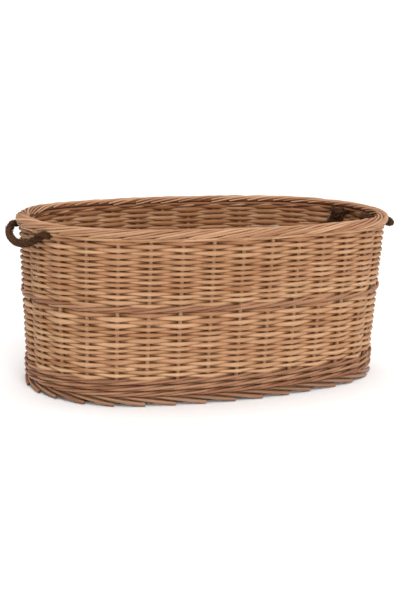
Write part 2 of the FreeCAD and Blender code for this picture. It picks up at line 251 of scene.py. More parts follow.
# %% Gather rods into a piece
def make_piece(name, bundle, finish, replaces, body="basket"):
    """Turns a bundle of rods into one smooth-shaded piece of the basket."""
    mesh = bpy.data.meshes.new(name)
    mesh.from_pydata(np.concatenate(bundle["points"]).tolist(), [], bundle["faces"])
    grain = mesh.attributes.new("grain", "FLOAT_VECTOR", "POINT")
    grain.data.foreach_set("vector", np.concatenate(bundle["grain"]).ravel())
    for label in ("shade", "red", "cut"):
        layer = mesh.attributes.new(label, "FLOAT", "POINT")
        layer.data.foreach_set("value", np.concatenate(bundle[label]))
    mesh.polygons.foreach_set("use_smooth", np.ones(len(mesh.polygons), bool))
    mesh.materials.append(finish)
    piece = bpy.data.objects.new(name, mesh)
    bpy.context.scene.collection.objects.link(piece)
    if body:
        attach(piece, body)
    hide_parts(*replaces)
    triangles = sum(len(face) - 2 for face in bundle["faces"])
    print(f"{name}: {len(bundle['points'])} rods, {triangles} triangles")
    return piece


# %% [markdown]
# ## The willow finish
# A willow rod has fine streaks along it, broader cloudy patches, dark flecks where buds sat, a shade
# unlike its neighbour's and pith where it is cut. A picture wrapped round each rod would repeat, so
# noise stretched along the rod's own grain makes them. They are the same on all of the basket, so
# they are one node group, and each band of the basket gives it colours of its own.

# %% Small helpers for nodes
def plain(red, green, blue):
    """A colour given as on a colour chart, 0 to 255, turned into the linear values that nodes use."""
    parts = []
    for value in (red, green, blue):
        value /= 255
        parts.append(value / 12.92 if value <= 0.04045 else ((value + 0.055) / 1.055) ** 2.4)
    return (*parts, 1.0)


def feed(tree, made, place, value):
    """Links a socket to one of a node's inputs, or sets the input to a value."""
    if isinstance(value, bpy.types.NodeSocket):
        tree.links.new(value, made.inputs[place])
    else:
        made.inputs[place].default_value = value


def node(tree, kind, **inputs):
    """Adds a node and feeds its inputs, named as they are or by number, as in i3."""
    made = tree.nodes.new(kind)
    for key, value in inputs.items():
        numbered = key[0] == "i" and key[1:].isdigit()
        feed(tree, made, int(key[1:]) if numbered else key, value)
    return made


def attribute(tree, label):
    made = tree.nodes.new("ShaderNodeAttribute")
    made.attribute_name = label
    return made


def stretched_noise(tree, vector, scale, detail, roughness=0.55):
    """Noise stretched along a rod: scale is how many features a metre holds on each axis."""
    mapping = node(tree, "ShaderNodeMapping", Vector=vector, Scale=scale)
    return node(tree, "ShaderNodeTexNoise", Vector=mapping.outputs[0], Scale=1.0, Detail=detail,
                Roughness=roughness).outputs[0]


def ranged(tree, value, low, high, to_low=0.0, to_high=1.0):
    made = node(tree, "ShaderNodeMapRange", i0=value, i1=low, i2=high, i3=to_low, i4=to_high)
    return made.outputs[0]


def mixed(tree, share, one, other):
    made = tree.nodes.new("ShaderNodeMix")
    made.data_type = "RGBA"
    for place, value in ((0, share), (6, one), (7, other)):
        feed(tree, made, place, value)
    return made.outputs[2]


def sums(tree, way, one, other):
    made = tree.nodes.new("ShaderNodeMath")
    made.operation = way
    for place, value in ((0, one), (1, other)):
        feed(tree, made, place, value)
    return made.outputs[0]


# %% Build the willow node group
FLECK = plain(84, 52, 32)
grained = bpy.data.node_groups.new("willow_grain", "ShaderNodeTree")
for way, kind, labels in (
    ("INPUT", "NodeSocketVector", ("Grain",)),
    ("INPUT", "NodeSocketFloat", ("Shade", "Red", "Cut")),
    ("INPUT", "NodeSocketColor", ("Pale", "Brown", "Russet", "Pith")),
    ("OUTPUT", "NodeSocketColor", ("Color",)),
    ("OUTPUT", "NodeSocketFloat", ("Roughness", "Height")),
):
    for label in labels:
        grained.interface.new_socket(label, in_out=way, socket_type=kind)
given = grained.nodes.new("NodeGroupInput").outputs
streaks = stretched_noise(grained, given["Grain"], (14.0, 420.0, 420.0), 4.0, 0.62)
clouds = stretched_noise(grained, given["Grain"], (11.0, 70.0, 70.0), 2.0)
flecks = stretched_noise(grained, given["Grain"], (95.0, 700.0, 700.0), 2.0)
# a rod's own tone runs from 0 to 1, and painted shade on the weavers' inner parts adds up to about 1
# more
shade = sums(grained, "ADD", ranged(grained, given["Shade"], 0.0, 2.0, 0.06, 1.02),
             ranged(grained, clouds, 0.3, 0.7, -0.18, 0.30))
shade = sums(grained, "ADD", shade, ranged(grained, streaks, 0.32, 0.68, -0.16, 0.30))
colour = mixed(grained, ranged(grained, shade, 0.0, 1.0), given["Pale"], given["Brown"])
redness = sums(grained, "MULTIPLY", ranged(grained, given["Red"], 0.45, 1.0, 0.0, 0.75),
               ranged(grained, clouds, 0.35, 0.6, 0.45, 1.0))
colour = mixed(grained, redness, colour, given["Russet"])
colour = mixed(grained, ranged(grained, flecks, 0.66, 0.74, 0.0, 0.55), colour, FLECK)
colour = mixed(grained, sums(grained, "MULTIPLY", given["Cut"], 0.8), colour, given["Pith"])
out = grained.nodes.new("NodeGroupOutput")
grained.links.new(colour, out.inputs["Color"])
grained.links.new(ranged(grained, streaks, 0.3, 0.7, 0.42, 0.66), out.inputs["Roughness"])
height = sums(grained, "ADD", streaks, sums(grained, "MULTIPLY", flecks, 0.35))
grained.links.new(height, out.inputs["Height"])
print("willow group:", len(grained.nodes), "nodes")


# %% Make a willow material
def willow_finish(name, pale, brown, russet, pith=(196, 164, 126), from_object=False):
    """A willow material. Straight sticks take their grain from their place, rods from their own."""
    finish = bpy.data.materials.new(name)
    finish.use_nodes = True
    tree = finish.node_tree
    shader = tree.nodes["Principled BSDF"]
    group = tree.nodes.new("ShaderNodeGroup")
    group.node_tree = grained
    for socket, tint in (("Pale", pale), ("Brown", brown), ("Russet", russet), ("Pith", pith)):
        group.inputs[socket].default_value = plain(*tint)
    if from_object:
        place = tree.nodes.new("ShaderNodeTexCoord").outputs["Object"]
        turned = node(tree, "ShaderNodeMapping", Vector=place, Rotation=(0.0, math.pi / 2, 0.0))
        tree.links.new(turned.outputs[0], group.inputs["Grain"])
        group.inputs["Shade"].default_value = 0.45
        group.inputs["Red"].default_value = 0.3
    else:
        tree.links.new(attribute(tree, "grain").outputs["Vector"], group.inputs["Grain"])
        for socket, label in (("Shade", "shade"), ("Red", "red"), ("Cut", "cut")):
            tree.links.new(attribute(tree, label).outputs["Fac"], group.inputs[socket])
    tree.links.new(group.outputs["Color"], shader.inputs["Base Color"])
    tree.links.new(group.outputs["Roughness"], shader.inputs["Roughness"])
    height = group.outputs["Height"]
    bump = node(tree, "ShaderNodeBump", Strength=0.35, Distance=0.0006, Height=height)
    tree.links.new(bump.outputs[0], shader.inputs["Normal"])
    shader.inputs["Specular IOR Level"].default_value = 0.35
    return finish


# %% [markdown]
# ## The basket's own colours
# The weavers are the palest rods and the wales are redder. The rim is a little paler still, and the
# foot is browner, with dark cut ends. Each finish is the same group with a pale, a brown and
# a russet tint. The straight stakes and sticks keep the model's own solids, which carry no grain
# coordinate, so their grain follows their place instead.

# %% Mix the willow colours
weaver_finish = willow_finish("willow_weavers", (204, 161, 122), (149, 99, 58), (162, 108, 70))
wale_finish = willow_finish("willow_wale", (178, 132, 98), (118, 74, 46), (138, 82, 52))
border_finish = willow_finish("willow_border", (208, 164, 127), (146, 99, 66), (160, 106, 72))
foot_finish = willow_finish("willow_foot", (180, 138, 106), (122, 82, 54), (148, 92, 60),
                            pith=(60, 42, 30))
base_finish = willow_finish("willow_base", (192, 148, 108), (140, 96, 64), (150, 96, 64))
stick_finish = willow_finish("willow_sticks", (200, 160, 124), (150, 108, 74), (152, 98, 66),
                             from_object=True)
for label in ("side_stakes", "base_long_sticks", "base_cross_sticks"):
    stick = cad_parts[label]
    for held in stick.material_slots:
        held.link = "OBJECT"
        held.material = stick_finish
print("willow finishes:", [m.name for m in bpy.data.materials if m.name.startswith("willow")])

# %% [markdown]
# ## The rope handles
# Each handle is one rope, knotted inside the wall, led out through a hole, hung down in a shallow
# loop and led back in. A smooth curve steered by a few listed points gives its line, because a
# rope never has straight runs and corners. The rope itself is three twisted strands, each a swept
# tube, with loose hairs of fibre standing out of it.

# %% The line of each rope, from one knot to the other
LEFT_ROUTE = [
    (-0.3400, -0.0885, 0.3060),
    (-0.3640, -0.0900, 0.3230),
    (-0.3880, -0.0915, 0.3250),
    (-0.3980, -0.0850, 0.3165),
    (-0.4062, -0.0645, 0.3055),
    (-0.4098, -0.0336, 0.2990),
    (-0.4110, 0.0000, 0.2970),
    (-0.4098, 0.0336, 0.2990),
    (-0.4062, 0.0628, 0.3044),
    (-0.3985, 0.0814, 0.3121),
    (-0.3896, 0.0885, 0.3210),
    (-0.3640, 0.0885, 0.3195),
    (-0.3400, 0.0885, 0.3060),
]
RIGHT_ROUTE = [
    (0.3530, -0.0601, 0.3210),
    (0.3760, -0.0601, 0.3210),
    (0.4001, -0.0601, 0.3210),
    (0.4147, -0.0553, 0.3157),
    (0.4274, -0.0427, 0.3110),
    (0.4355, -0.0228, 0.3081),
    (0.4386, 0.0000, 0.3070),
    (0.4355, 0.0228, 0.3081),
    (0.4274, 0.0427, 0.3110),
    (0.4147, 0.0553, 0.3157),
    (0.4001, 0.0601, 0.3210),
    (0.3760, 0.0601, 0.3210),
    (0.3530, 0.0601, 0.3210),
]
# the rope's thickness and the height of its holes in the wall
ROPE = 0.015
HOLE_LEVEL = 0.321


def smooth_line(name, route):
    """Reads the points of a smooth curve whose control points are the route."""
    curve = bpy.data.curves.new(name, "CURVE")
    curve.dimensions = "3D"
    curve.resolution_u = 12
    spline = curve.splines.new("NURBS")
    spline.points.add(len(route) - 1)
    for point, place in zip(spline.points, route):
        point.co = (*place, 1.0)
    spline.order_u = 3
    spline.use_endpoint_u = True
    holder = bpy.data.objects.new(name, curve)
    bpy.context.scene.collection.objects.link(holder)
    mesh = bpy.data.meshes.new_from_object(holder)
    points = np.array([vertex.co[:] for vertex in mesh.vertices])
    bpy.data.objects.remove(holder)
    bpy.data.meshes.remove(mesh)
    return points


def evenly(points, step):
    """Points at even steps along a line."""
    runs = distances(points)
    marks = np.linspace(0, runs[-1], max(2, int(round(runs[-1] / step)) + 1))
    return np.stack([np.interp(marks, runs, points[:, axis]) for axis in range(3)], axis=1)


def carried_frames(line):
    """Two directions square to the line, carried along it without twisting."""
    ahead = np.gradient(line, axis=0)
    ahead /= np.linalg.norm(ahead, axis=1)[:, None]
    one = np.zeros_like(line)
    one[0] = np.cross(ahead[0], [0, 0, 1.0])
    one[0] /= np.linalg.norm(one[0])
    for index in range(1, len(line)):
        kept = one[index - 1] - ahead[index] * np.dot(one[index - 1], ahead[index])
        one[index] = kept / np.linalg.norm(kept)
    return one, np.cross(ahead, one)


def beside(one, other, turn):
    """The directions at a given turn round the line."""
    return one * np.cos(turn)[:, None] + other * np.sin(turn)[:, None]


print("left and right routes:", len(LEFT_ROUTE), "and", len(RIGHT_ROUTE), "points")

# %% Twist the strands and add loose hairs
STRANDS = 3
STRAND_STEP = 0.0022
STRAND_OFF = 1.1547
STRAND_SWELL = 1.04
HAIR_STEP = 0.001


def add_strands(bundle, line, radius, lay, dice):
    """Twists strands round a line. lay is how far the rope goes in one turn of a strand."""
    line = evenly(line, STRAND_STEP)
    one, other = carried_frames(line)
    along = distances(line)
    # three round strands that touch have their middles this many strand radii off the rope's
    strand = radius / (1 + STRAND_OFF)
    thick = strand * STRAND_SWELL
    for index in range(STRANDS):
        turn = 2 * math.pi * (along / lay + index / STRANDS)
        path = line + beside(one, other, turn) * strand * STRAND_OFF
        shade = index / STRANDS + dice.uniform(0, 0.2)
        add_rod(bundle, path, thick, thick, dice, shade=shade, sides=12)


def add_hairs(bundle, line, radius, count, longest, dice):
    """Short loose fibres that lie along the rope and lift off it at one end."""
    line = evenly(line, HAIR_STEP)
    one, other = carried_frames(line)
    for _ in range(count):
        start = dice.integers(2, len(line) - 16)
        length = int(dice.integers(5, 14))
        index = np.minimum(start + np.arange(0, length, 2), len(line) - 1)
        grow = np.linspace(0, 1, len(index))
        turn = dice.uniform(0, 2 * math.pi) + grow * dice.uniform(-0.6, 1.4)
        lift = radius * 0.93 + longest * grow ** 1.6 * dice.uniform(0.15, 1.0)
        path = line[index] + beside(one[index], other[index], turn) * lift[:, None]
        thin = np.linspace(0.00034, 0.00014, len(index))
        add_rod(bundle, path, thin, thin, dice, sides=3)


# %% [markdown]
# ## The rope finish
# The rope is dark brown plant fibre. It is dull, and finely streaked along each strand, with worn
# lighter patches. The strands carry the same grain coordinate as the rods, so two stretched noises
# give the streaks and the patches, and the streaks also raise the surface.

# %% Give the rope its dark fibrous finish
def rope_finish_made():
    finish = bpy.data.materials.new("rope")
    finish.use_nodes = True
    tree = finish.node_tree
    shader = tree.nodes["Principled BSDF"]
    grain = attribute(tree, "grain").outputs["Vector"]
    fibres = stretched_noise(tree, grain, (130.0, 900.0, 900.0), 3.0, 0.6)
    patches = stretched_noise(tree, grain, (45.0, 120.0, 120.0), 2.0)
    streak = ranged(tree, fibres, 0.35, 0.68, 0.0, 0.75)
    share = sums(tree, "ADD", streak, ranged(tree, patches, 0.3, 0.7, -0.15, 0.25))
    colour = mixed(tree, ranged(tree, share, 0.0, 1.0), plain(42, 24, 12), plain(100, 64, 38))
    tree.links.new(colour, shader.inputs["Base Color"])
    shader.inputs["Roughness"].default_value = 0.9
    shader.inputs["Specular IOR Level"].default_value = 0.2
    bump = node(tree, "ShaderNodeBump", Strength=0.7, Distance=0.0008, Height=fibres)
    tree.links.new(bump.outputs[0], shader.inputs["Normal"])
    return finish


rope_finish = rope_finish_made()
print("rope finish:", len(rope_finish.node_tree.nodes), "nodes")

# %% [markdown]
# ## The knots
# Inside the wall each rope end is tied in an overhand knot and left to fray. The rope goes round its
# own standing part in one tight loop, which shows as a lump of two or three turns, and the end below
# it opens into a brush of loose fibres. An overhand knot is the trefoil of geometry, so three waves
# give its line, and the strands are twisted round that line as they are along the handle.

# %% Tie a knot and fray its end
KNOT_SIZE = 0.0053
KNOT_ROPE = 0.0066
KNOT_LAY = 0.030
FRAY_ROOT = 0.008
FRAY_OUT = 0.008
FRAY_THICK, FRAY_THIN = 0.0008, 0.0003


def knot_line(centre, side):
    """A tight overhand knot round centre. side is the way out through the wall."""
    turn = np.linspace(0.0, 2 * math.pi, 90, endpoint=False)
    shape = np.stack((
        np.sin(3 * turn) * 1.3,
        np.sin(turn) + 2 * np.sin(2 * turn),
        np.cos(turn) - 2 * np.cos(2 * turn),
    ), axis=1)
    closed = np.concatenate((shape, shape[:1])) * KNOT_SIZE
    closed[:, 0] *= side
    return closed + centre


def make_knot(name, centre, side, seed):
    dice = np.random.default_rng(seed)
    centre = np.array(centre)
    bundle = new_bundle()
    add_strands(bundle, knot_line(centre, side), KNOT_ROPE, KNOT_LAY, dice)
    add_hairs(bundle, knot_line(centre, side), KNOT_ROPE, 200, 0.007, dice)
    # the frayed end: curling fibres that fan out below the knot, every other one more widely
    steps = np.linspace(0, 1, 6)
    thin = np.linspace(FRAY_THICK, FRAY_THIN, len(steps))
    outmost = centre[0] + side * FRAY_OUT
    for number in range(260):
        lean = np.clip(dice.normal(0, 0.45 if number % 2 else 0.9, 2), -1.0, 1.0)
        length = dice.uniform(0.016, 0.037)
        curl = dice.normal(0, 0.0030, (1, 3)) * np.sin(steps * dice.uniform(2, 5))[:, None]
        start = centre + np.array([0, 0, -FRAY_ROOT]) + dice.normal(0, 0.0035, 3)
        fall = np.stack((lean[0] * steps, lean[1] * steps, -steps), axis=1)
        path = start + fall * length + curl
        # no fibre goes into the wall
        too_far = side * (path[:, 0] - centre[0]) > FRAY_OUT
        path[:, 0] = np.where(too_far, outmost, path[:, 0])
        add_rod(bundle, path, thin, thin, dice, sides=4)
    return make_piece(name + "_tied", bundle, rope_finish, replaces=(name,))


# hole is how far a knot is from the middle of the end, reach how far out it lies, and drop how far it
# hangs below its hole
for end, side, hole, reach, drop, seed in (
    ("left", -1, 0.0885, 0.3380, 0.018, 11),
    ("right", 1, 0.0601, 0.3509, 0.003, 21),
):
    for number, (face, sign) in enumerate((("front", -1), ("back", 1))):
        name = f"{end}_{face}_rope_knot"
        place = (side * reach, sign * hole, HOLE_LEVEL - drop)
        make_knot(name, place, side, seed + number)

# %% [markdown]
# ## Laying the ropes
# Each rope is one piece, laid from knot to knot through both holes. It is attached to no body,
# and its place is baked into its points.

# %% Lay the two ropes
ROPE_LAY = 0.044
for end, route, seed in (("left", LEFT_ROUTE, 31), ("right", RIGHT_ROUTE, 41)):
    dice = np.random.default_rng(seed)
    line = smooth_line(end + "_rope_line", route)
    # the route's third point is where the rope leaves the wall
    swing = abs(route[2][0])
    bundle = new_bundle()
    add_strands(bundle, line, ROPE / 2, ROPE_LAY, dice)
    add_hairs(bundle, line, ROPE / 2, 420, 0.003, dice)
    # the rope is chafed where it bends into the wall, and its fibres stand off there
    reach = np.abs(line[:, 0])
    chafed = line[(reach > swing - 0.004) & (reach < swing + 0.016)]
    for bend in (chafed[chafed[:, 1] < 0], chafed[chafed[:, 1] > 0]):
        add_hairs(bundle, bend, ROPE / 2, 90, 0.0040, dice)
    rope = make_piece(end + "_rope_handle", bundle, rope_finish, body=None,
                      replaces=(end + "_rope_loop",))
    side = -1 if end == "left" else 1
    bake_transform(rope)

# %% [markdown]
# ## The side weave
# Each band of the side is woven with one rod at a time, in front of one stake and behind the next.
# Because the count of stakes is odd, the next round goes the other way by itself. The rod's way in
# and out is a wave one stake spacing long each way, and its height is found by stacking: a thick rod
# lifts everything above it, which gives the rows the slight unevenness of hand work. A rod is as long
# as a grown willow rod, so it ends behind a stake, where the next one begins.

# %% Plan the rods of a band
STEPS = 8


def smoothed(values, width):
    """A running mean that keeps the ends where they are."""
    window = np.ones(width) / width
    padded = np.concatenate((np.full(width, values[0]), values, np.full(width, values[-1])))
    return np.convolve(padded, window, mode="same")[width:-width]


def rod_runs(total, dice, shortest=14, longest=27):
    """Cuts a long weave into rods that each end behind a stake."""
    runs = []
    start = 0
    while start < total:
        end = min(total, start + int(dice.integers(shortest, longest)))
        if total - end < shortest:
            end = total
        if end < total and end % 2 == 0:
            end += 1
        runs.append((start, end))
        start = end
    return runs


# %% Weave a band
# how many steps a rod's thick end and its thin end run on past their stakes
BUTT_TUCK, TIP_TUCK = 5, 4
# the nearer this is to 1, the more sharply a rod bends at a stake
WAVE_EDGE = 0.96
SWING_OUT = 0.0056
FRESH_INSET = 0.0038
HALF_DEPTH = 0.0030
WOBBLE = 0.00035


def weave_band(name, node_name, bottom, top, rounds, seed):
    dice = np.random.default_rng(seed)
    total = rounds * STAKES
    count = total * STEPS
    way = np.arange(count + 1) / STEPS
    # how thick the weaving is at every step, from each rod's butt to its tip
    thick = np.ones(count + 1)
    runs = rod_runs(total, dice)
    for start, end in runs:
        part = slice(start * STEPS, end * STEPS + 1)
        butt = dice.uniform(1.00, 1.28)
        tip = butt * dice.uniform(0.62, 0.80)
        thick[part] = np.linspace(butt, tip, (end - start) * STEPS + 1)
    thick = smoothed(thick, STEPS)
    # the rounds are stacked on a ramp, because the weave climbs as a spiral
    column = STAKES * STEPS
    grid = thick[:-1].reshape(rounds, column)
    ramp = np.arange(column) / column * thick.mean()
    wedge = thick.mean() - ramp
    stack = ramp + np.cumsum(grid, axis=0) - grid / 2
    scale = (top - bottom) / (ramp + grid.sum(axis=0) + wedge)
    height = bottom + (stack * scale).ravel()
    height = np.append(height, 2 * height[-1] - height[-2])
    height = smoothed(height, STEPS // 2 * 2 + 1)
    row = (top - bottom) / (rounds + 1) / thick.mean()
    # a stiff rod runs nearly straight from one stake to the next and bends round each
    wave = np.arcsin(WAVE_EDGE * np.cos(math.pi * (way - FIRST_STAKE))) / math.asin(WAVE_EDGE)
    bundle = new_bundle()
    for start, end in runs:
        first = max(0, start * STEPS - BUTT_TUCK)
        last = min(count, end * STEPS + TIP_TUCK)
        index = np.arange(first, last + 1)
        ends = [start * STEPS, end * STEPS]
        sizes = [thick[ends[0] + STEPS // 2], thick[ends[1] - STEPS // 2]]
        own = np.interp(index, ends, sizes)
        swing = wave[index]
        bulge = dice.normal(0, 0.0003)
        inset = WALL_MIDDLE - (SWING_OUT + 0.0006 * own + bulge) * swing
        # the new rod's thick end starts on the inner side of the old rod's thin end
        fresh = np.clip(1 - (index - first) / (STEPS * 0.8), 0, 1)
        inset = inset + FRESH_INSET * fresh * (start > 0)
        # rods flatten against each other, most of all on the inner side of the wall
        tall = row * own / 2 * (1.08 + np.where(swing > 0, 0.36 * swing ** 2, -0.62 * swing))
        deep = HALF_DEPTH + 0.0007 * (own - 0.9)
        wobble = WOBBLE * np.sin(index / dice.uniform(9, 17) + dice.uniform(0, 6))
        line = wall_points(way[index], inset, height[index] + wobble)
        # painted shade: the parts that lie on the inner side are coloured browner, so the gaps beside
        # the stakes and the inside of the wall look shaded
        painted_inner_shade = dice.uniform(0, 1) + 0.85 * np.clip(0.1 - swing, 0, 1)
        add_rod(bundle, line, tall, deep, dice, shade=painted_inner_shade)
    return make_piece(name, bundle, weaver_finish, replaces=(node_name,))


# the weave goes on a little under the wale above it and over the one below
for name, node_name, under, over, rounds, seed in (
    ("lower_weave_rods", "lower_side_weave", 0.003, 0.0045, 21, 101),
    ("upper_weave_rods", "upper_side_weave", 0.0045, 0.0095, 22, 202),
):
    low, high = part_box(node_name)
    weave_band(name, node_name, low.z - under, high.z + over, rounds, seed)

# %% [markdown]
# ## The waling
# A wale is three rods worked together. Each goes in front of two stakes and behind one, over the two
# beside it, so the band looks like a flat rope. One rod's path repeats every three stakes, so it is
# written once as a few turning points and read off smoothly.

# %% Read a smooth line through turning points
def eased(share, here, after, rise, fall):
    """A smooth step from here to after, which sets out with slope rise and arrives with slope fall."""
    square, cube = share ** 2, share ** 3
    return ((2 * cube - 3 * square + 1) * here + (cube - 2 * square + share) * rise
            + (-2 * cube + 3 * square) * after + (cube - square) * fall)


def repeating(way, keys, values, period):
    """Reads a smooth repeating line through a few turning points."""
    keys = np.concatenate((keys - period, keys, keys + period, keys + 2 * period))
    values = np.tile(values, 4)
    where = way % period
    index = np.searchsorted(keys, where, side="right") - 1
    before, here, after, beyond = (values[index + step] for step in (-1, 0, 1, 2))
    share = (where - keys[index]) / (keys[index + 1] - keys[index])
    return eased(share, here, after, (after - before) / 2, (beyond - here) / 2)


def through(way, keys, values):
    """Reads a smooth line through turning points that are not repeated."""
    slopes = np.gradient(values, keys)
    index = np.clip(np.searchsorted(keys, way, side="right") - 1, 0, len(keys) - 2)
    gap = keys[index + 1] - keys[index]
    share = (way - keys[index]) / gap
    return eased(share, values[index], values[index + 1], gap * slopes[index],
                 gap * slopes[index + 1])


# %% Work a wale
WALE_RODS = 3
WALE_STEPS = 8
WALE_TUCK = 0.3
# where one rod lies at each turning point: stakes along, then shares of the way out and of the way up
WALE_WAY = np.array([0.0, 0.5, 1.0, 1.5, 2.0, 2.5])
WALE_OUT = np.array([0.05, 0.95, 1.08, 0.95, 0.0, -1.0])
WALE_LIFT = np.array([0.62, 0.46, 0.12, -0.30, -0.66, -0.08])


def work_wale(name, node_name, bottom, top, rounds, thickness, finish, seed):
    dice = np.random.default_rng(seed)
    bundle = new_bundle()
    layer = (top - bottom) / (2 * rounds)
    for turn in range(rounds):
        middle = bottom + layer * (2 * turn + 1)
        for rod in range(WALE_RODS):
            start = float(dice.integers(0, STAKES))
            whole = start + STAKES
            while start < whole:
                stop = min(start + float(dice.integers(14, 24)), whole)
                way = np.arange(start - WALE_TUCK, stop + WALE_TUCK, 1 / WALE_STEPS)
                phase = (-way + FIRST_STAKE + 0.5 + rod + turn) % WALE_RODS
                out = repeating(phase, WALE_WAY, WALE_OUT, WALE_RODS)
                lift = repeating(phase, WALE_WAY, WALE_LIFT, WALE_RODS)
                taper = np.linspace(1.08, 0.84, len(way)) * dice.uniform(0.93, 1.05)
                inset = WALL_MIDDLE - (WALL_MIDDLE - thickness / 2) * out
                line = wall_points(way, inset, middle + layer * lift)
                tall = thickness / 2 * taper
                add_rod(bundle, line, tall, tall * 0.95, dice)
                start = stop
    return make_piece(name, bundle, finish, replaces=(node_name,))


for name, rounds, thickness, finish, slot, seed in (
    ("upsett_wale", 3, 0.0060, wale_finish, "willow_wale", 301),
    ("middle_wale", 1, 0.0062, wale_finish, "willow_wale", 302),
    ("top_wale", 1, 0.0056, weaver_finish, "willow_weavers", 303),
):
    low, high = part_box(name)
    # the lowest wale also hides the top of the foot, and the top one lies close under the rim
    shift = {"upsett_wale": -0.006, "top_wale": 0.005}.get(name, 0.0)
    work_wale(name + "_rods", name, low.z + shift, high.z, rounds, thickness, finish, seed)

# %% [markdown]
# ## The rolled rim
# At the top each stake is bent down to the right and becomes a rod of the rim. It comes out under the
# rim, runs up its outer face, over the top and down the inner face, while the next stakes do the same
# beside it. A second rod is laid beside every stake, so the rim is a slow twist of two rods for each
# stake, round a core of long rods. One path, turned a stake further on each time, gives them all.

# %% Roll the rim
RIM_STEPS = 10
RIM_SPAN = 4.05
# one rod's path: stakes along, then how far out from the wall's middle and how far above the rim's
RIM_WAY = np.array([-0.05, 0.20, 0.50, 0.90, 1.30, 1.70, 2.15, 2.70, 3.20, 3.60, 4.00, 4.28])
RIM_OUT = np.array([0.0010, 0.0058, 0.0098, 0.0113, 0.0112, 0.0094,
                    0.0036, -0.0038, -0.0096, -0.0112, -0.0112, -0.0100])
RIM_LIFT = np.array([-0.0112, -0.0090, -0.0071, -0.0042, -0.0006, 0.0028,
                     0.0053, 0.0053, 0.0044, 0.0006, -0.0036, -0.0056])
# how far in from the outer face each core rod lies, and how far above the rim's middle
RIM_CORE = ((0.006, -0.001), (0.011, -0.004), (0.016, -0.001), (0.011, 0.001), (0.0170, -0.0085))
# the rods that go all the way round follow a point every quarter of a stake
WHOLE_ROUND = np.arange(0, STAKES + 0.5, 0.25)


def roll_rim():
    dice = np.random.default_rng(404)
    bundle = new_bundle()
    middle = (rim_low.z + rim_high.z) / 2
    for rod in range(2 * STAKES):
        # the stake and a second rod beside it come out together and lie half a spacing apart
        start = rod // 2
        ahead = 0.5 * (rod % 2)
        end = RIM_SPAN - ahead + dice.uniform(-0.45, 0.22)
        way = np.arange(RIM_WAY[0], end, 1 / RIM_STEPS)
        share = np.clip(way / 0.36, 0, 1)
        turned = way + ahead * share * share * (3 - 2 * share)
        out = through(turned, RIM_WAY, RIM_OUT)
        lift = through(turned, RIM_WAY, RIM_LIFT)
        taper = np.linspace(0.0029, 0.0020, len(way)) * dice.uniform(0.80, 1.06)
        ripple = np.sin(way * dice.uniform(1.5, 3.0) + dice.uniform(0, 6))
        wobble = 0.0005 * ripple * np.clip(way, 0, 1)
        inset = WALL_MIDDLE - out * dice.uniform(0.97, 1.04)
        line = wall_points(FIRST_STAKE + start + way, inset, middle + lift + wobble)
        add_rod(bundle, line, taper, taper, dice, shade=dice.uniform(0.0, 1.2))
    for inset, above in RIM_CORE:
        line = wall_points(WHOLE_ROUND, inset, middle + above)
        # painted shade: the core rods get nearly the full brown, so where they show between the rim
        # rods the gaps look shaded
        add_rod(bundle, line, 0.0032, 0.0036, dice, shade=1.8)
    return make_piece("rim_rods", bundle, border_finish, replaces=("rim_border",))


roll_rim()

# %% [markdown]
# ## The foot
# A second row of rods stands the basket off the floor. One short rod per stake starts under the first
# waling, runs down to the right and is cut off just above the floor, over the start of the next one.
# Longer rods lie behind them, and these carry the basket. As in the rim, one path serves for all.

# %% Lay the foot rods
FOOT_STEPS = 9
FOOT_SPAN = 1.95
# one rod's path: stakes along, then how far in from the outer face and how far above the floor
FOOT_WAY = np.array([0.05, 0.38, 0.78, 1.18, 1.58, 2.02])
FOOT_INSET = np.array([0.0135, 0.0085, 0.0052, 0.0034, 0.0020, 0.0008])
FOOT_HEIGHT = np.array([0.0190, 0.0168, 0.0138, 0.0106, 0.0071, 0.0034])
# each long rod's place in from the outer face, its height and its half thickness
FOOT_LONG_RODS = (
    (0.0125, 0.0150, 0.0036), (0.0135, 0.0210, 0.0036), (0.0195, 0.0085, 0.0040),
    (0.0275, 0.0062, 0.0042), (0.0280, 0.0135, 0.0040), (0.0205, 0.0160, 0.0042),
    (0.0272, 0.0203, 0.0038), (0.0195, 0.0225, 0.0030),
)


def lay_foot():
    dice = np.random.default_rng(505)
    bundle = new_bundle()
    for stake in range(STAKES):
        end = FOOT_SPAN + dice.uniform(-0.07, 0.07)
        way = np.arange(FOOT_WAY[0], end, 1 / FOOT_STEPS)
        inset = through(way, FOOT_WAY, FOOT_INSET)
        height = through(way, FOOT_WAY, FOOT_HEIGHT)
        taper = np.linspace(0.0029, 0.0034, len(way)) * dice.uniform(0.92, 1.06)
        line = wall_points(FIRST_STAKE + stake + way, inset, height)
        add_rod(bundle, line, taper, taper, dice)
    for inset, height, thick in FOOT_LONG_RODS:
        line = wall_points(WHOLE_ROUND, inset, height + 0.0003 * np.sin(WHOLE_ROUND * 1.7))
        add_rod(bundle, line, thick, thick, dice, shade=dice.uniform(0.6, 1.0))
    return make_piece("foot_rods", bundle, foot_finish, replaces=("foot_border",))


lay_foot()

# %% [markdown]
# ## The base
# The base is woven flat, over and under the sticks, in ovals that grow from the bound middle out to
# the wall. The five cross sticks, and the three long ones that are crossed as one, are passed an even
# number of times in a round, so each ring closes on itself and the next one goes the other way.

# %% Find the rings of the base
base_low, base_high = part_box("base_weave")
BASE_MIDDLE = (base_low.z + base_high.z) / 2
FLARE_BACK = FLARE * (1 - BASE_MIDDLE / HEIGHT)
STICK_SPACING = 0.090
CROSS_STICKS = [(index - 2) * STICK_SPACING for index in range(5)]
POINTS_A_METRE = 70


def base_ring(end_radius):
    """Points of a parallel oval in the base, by the radius of its ends."""
    shift = end_radius - END_RADIUS
    arcs = []
    for turn, x, y, radius, first in STRETCHES:
        radius = radius + shift
        steps = max(3, int(POINTS_A_METRE * turn * radius))
        angle = first + np.linspace(0, turn, steps, endpoint=False)
        arcs.append(np.stack((x + radius * np.cos(angle), y + radius * np.sin(angle)), axis=1))
    return np.concatenate(arcs)


